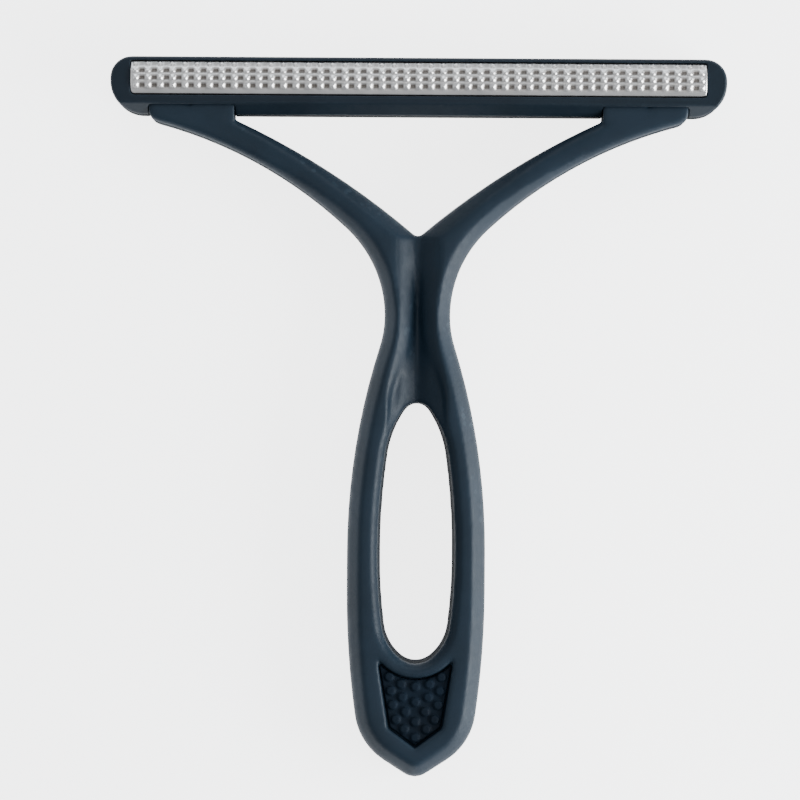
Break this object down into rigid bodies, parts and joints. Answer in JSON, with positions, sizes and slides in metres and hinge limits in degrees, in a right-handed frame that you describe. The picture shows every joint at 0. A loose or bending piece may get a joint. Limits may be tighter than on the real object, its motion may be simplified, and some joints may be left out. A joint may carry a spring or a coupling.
{
  "type": "sweater comb",
  "caption": "Y-shaped hand comb for lifting pills and lint off knitwear: studded steel strips in a long bezel head on a bevelled handle with a hanging loop.",
  "frame": {"origin": "middle of the flat underside, on the plane that the rear rails and rear comb strip rest on", "axes": "+X along the comb strip, +Y from the tail of the handle towards the head, +Z out of the front face"},
  "size_m": [0.1322, 0.154, 0.014],
  "materials": {
    "handle": "fine-textured dark navy moulding",
    "frame": "fine-textured dark navy moulding",
    "backing": "plain dark moulding, hidden",
    "comb": "embossed bright stainless sheet",
    "grip": "soft matte inset"
  },
  "bodies": {
    "root": {"handle_front_shell": "handle", "handle_rear_shell": "handle", "head_frame_front": "frame", "head_frame_rear": "frame", "comb_backing_bar": "backing", "comb_plate_front": "comb", "comb_plate_rear": "comb", "grip_pad_front": "grip", "grip_pad_rear": "grip"}
  },
  "joints": []
}
